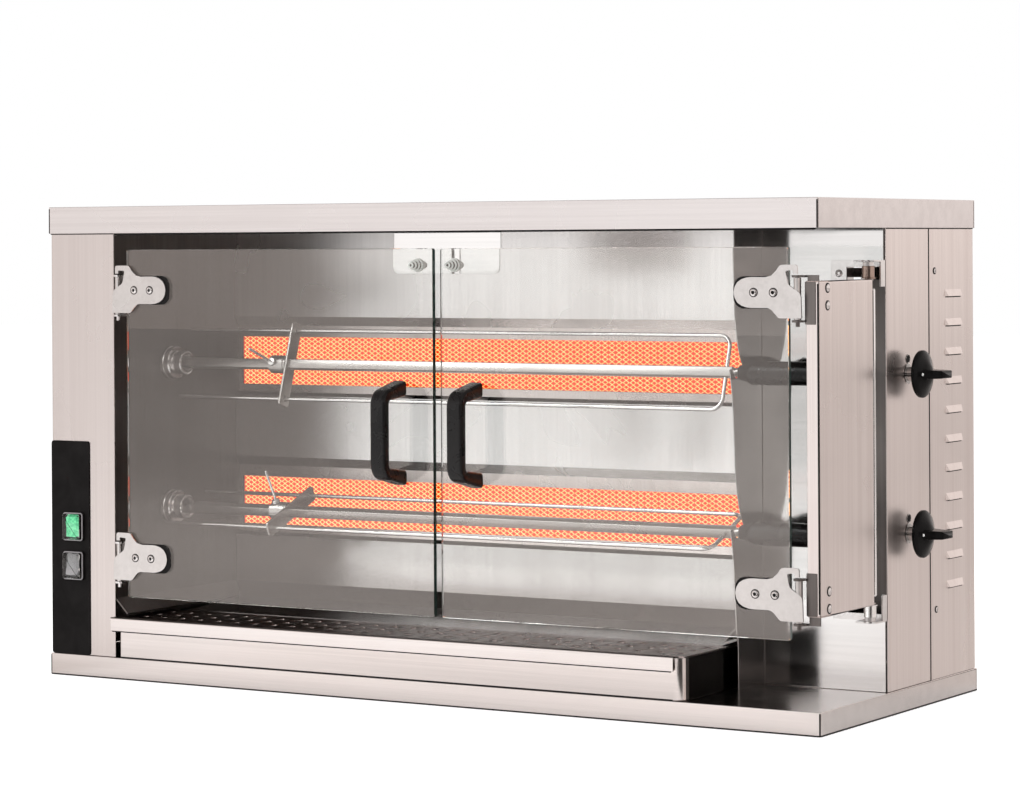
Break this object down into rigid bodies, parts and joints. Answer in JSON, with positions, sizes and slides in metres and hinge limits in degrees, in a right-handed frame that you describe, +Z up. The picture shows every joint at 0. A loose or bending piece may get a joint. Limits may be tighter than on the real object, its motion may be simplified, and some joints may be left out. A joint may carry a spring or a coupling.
{
  "type": "rotisserie oven",
  "caption": "Countertop gas rotisserie oven: folded stainless cabinet with stacked spits, radiant burners, glass doors on hinges, drip tray, side knobs and rocker switches.",
  "frame": {"origin": "centre of the whole object's footprint, on the surface that it stands on", "axes": "+X to the user's right along the longest side, +Y from the doors towards the back, +Z up"},
  "size_m": [1.149, 0.488, 0.6026],
  "materials": {
    "brushed_steel": "satin brushed stainless sheet",
    "polished_steel": "polished stainless sheet, mirror-like, slightly soft",
    "bright_steel": "bright polished stainless",
    "panel_black": "satin black",
    "rocker_green": "translucent green rocker lit from inside",
    "gloss_black": "glossy black moulded plastic",
    "door_glass": "clear toughened glass, green at its edges",
    "burner_ceramic": "glowing orange burner face under a metal mesh",
    "bumper_rubber": "grey ribbed rubber",
    "gas_brass": "machined brass",
    "motor_paint": "dark grey painted"
  },
  "bodies": {
    "cabinet": {"base_tray": "brushed_steel", "hood": "brushed_steel", "left_housing": "brushed_steel", "control_panel": "panel_black", "chamber_left_wall": "polished_steel", "upper_back_panel": "polished_steel", "middle_back_panel": "polished_steel", "lower_back_panel": "polished_steel", "chamber_ceiling": "polished_steel", "spit_support_plate": "polished_steel", "rear_cover": "brushed_steel", "recess_panel": "polished_steel", "knob_panel": "brushed_steel", "side_cover": "brushed_steel", "gas_manifold": "gas_brass", "latch_plate": "polished_steel", "left_bumper": "bumper_rubber", "right_bumper": "bumper_rubber", "upper_burner_body": "brushed_steel", "lower_burner_body": "brushed_steel", "upper_burner_plaque": "burner_ceramic", "lower_burner_plaque": "burner_ceramic", "upper_gas_valve": "gas_brass", "lower_gas_valve": "gas_brass", "upper_drive_motor": "motor_paint", "lower_drive_motor": "motor_paint", "upper_left_hinge_bracket": "bright_steel", "lower_left_hinge_bracket": "bright_steel", "upper_arm_bracket": "bright_steel", "lower_arm_bracket": "bright_steel", "upper_switch_housing": "panel_black", "lower_switch_housing": "panel_black"},
    "left_door": {"left_door_glass": "door_glass", "left_door_handle": "gloss_black", "upper_left_hinge_plate": "bright_steel", "lower_left_hinge_plate": "bright_steel"},
    "arm": {"swing_arm": "brushed_steel", "upper_arm_hinge_bracket": "bright_steel", "lower_arm_hinge_bracket": "bright_steel"},
    "right_door": {"right_door_glass": "door_glass", "right_door_handle": "gloss_black", "upper_right_hinge_plate": "bright_steel", "lower_right_hinge_plate": "bright_steel"},
    "tray": {"drip_tray": "brushed_steel", "left_drip_grid": "bright_steel", "right_drip_grid": "bright_steel"},
    "upper_spit_body": {"upper_spit": "bright_steel", "upper_drive_socket": "bright_steel", "upper_spit_handle": "gloss_black"},
    "upper_clamp_body": {"upper_spit_clamp": "bright_steel"},
    "upper_screw_body": {"upper_thumb_screw": "bright_steel"},
    "upper_knob_body": {"upper_knob": "gloss_black"},
    "upper_rocker_body": {"upper_rocker": "rocker_green"},
    "lower_spit_body": {"lower_spit": "bright_steel", "lower_drive_socket": "bright_steel", "lower_spit_handle": "gloss_black"},
    "lower_clamp_body": {"lower_spit_clamp": "bright_steel"},
    "lower_screw_body": {"lower_thumb_screw": "bright_steel"},
    "lower_knob_body": {"lower_knob": "gloss_black"},
    "lower_rocker_body": {"lower_rocker": "panel_black"}
  },
  "joints": [
    {"name": "left_door_hinge", "type": "hinge", "parent": "cabinet", "child": "left_door", "pos_m": [-0.4622, -0.1932, 0.326], "axis": [0, 0, 1], "range_deg": [-110, 0]},
    {"name": "arm_pivot", "type": "hinge", "parent": "cabinet", "child": "arm", "pos_m": [0.5135, -0.037, 0.321], "axis": [0, 0, 1], "range_deg": [0, 95]},
    {"name": "right_door_hinge", "type": "hinge", "parent": "arm", "child": "right_door", "pos_m": [0.4998, -0.1932, 0.326], "axis": [0, 0, 1], "range_deg": [0, 110]},
    {"name": "tray_slide", "type": "slide", "parent": "cabinet", "child": "tray", "axis": [0, -1, 0], "range_m": [0, 0.2]},
    {"name": "upper_spit_turn", "type": "hinge", "parent": "cabinet", "child": "upper_spit_body", "pos_m": [-0.0245, -0.076, 0.4], "axis": [1, 0, 0], "continuous": true},
    {"name": "upper_clamp_slide", "type": "slide", "parent": "upper_spit_body", "child": "upper_clamp_body", "axis": [1, 0, 0], "range_m": [-0.12, 0.5]},
    {"name": "upper_thumb_screw_turn", "type": "hinge", "parent": "upper_clamp_body", "child": "upper_screw_body", "pos_m": [-0.296, -0.076, 0.4], "axis": [0, -0.9553, 0.2957], "range_deg": [-180, 180]},
    {"name": "upper_knob_turn", "type": "hinge", "parent": "cabinet", "child": "upper_knob_body", "pos_m": [0.5455, 0.048, 0.3965], "axis": [1, 0, 0], "range_deg": [0, 180]},
    {"name": "upper_rocker_tilt", "type": "hinge", "parent": "cabinet", "child": "upper_rocker_body", "pos_m": [-0.5355, -0.1935, 0.192], "axis": [1, 0, 0], "range_deg": [-16, 0]},
    {"name": "lower_spit_turn", "type": "hinge", "parent": "cabinet", "child": "lower_spit_body", "pos_m": [-0.0245, -0.076, 0.213], "axis": [1, 0, 0], "continuous": true},
    {"name": "lower_clamp_slide", "type": "slide", "parent": "lower_spit_body", "child": "lower_clamp_body", "axis": [1, 0, 0], "range_m": [-0.12, 0.5]},
    {"name": "lower_thumb_screw_turn", "type": "hinge", "parent": "lower_clamp_body", "child": "lower_screw_body", "pos_m": [-0.296, -0.076, 0.213], "axis": [0, -0.3811, 0.9245], "range_deg": [-180, 180]},
    {"name": "lower_knob_turn", "type": "hinge", "parent": "cabinet", "child": "lower_knob_body", "pos_m": [0.5455, 0.048, 0.2085], "axis": [1, 0, 0], "range_deg": [0, 180]},
    {"name": "lower_rocker_tilt", "type": "hinge", "parent": "cabinet", "child": "lower_rocker_body", "pos_m": [-0.5355, -0.1935, 0.142], "axis": [1, 0, 0], "range_deg": [0, 16]}
  ]
}
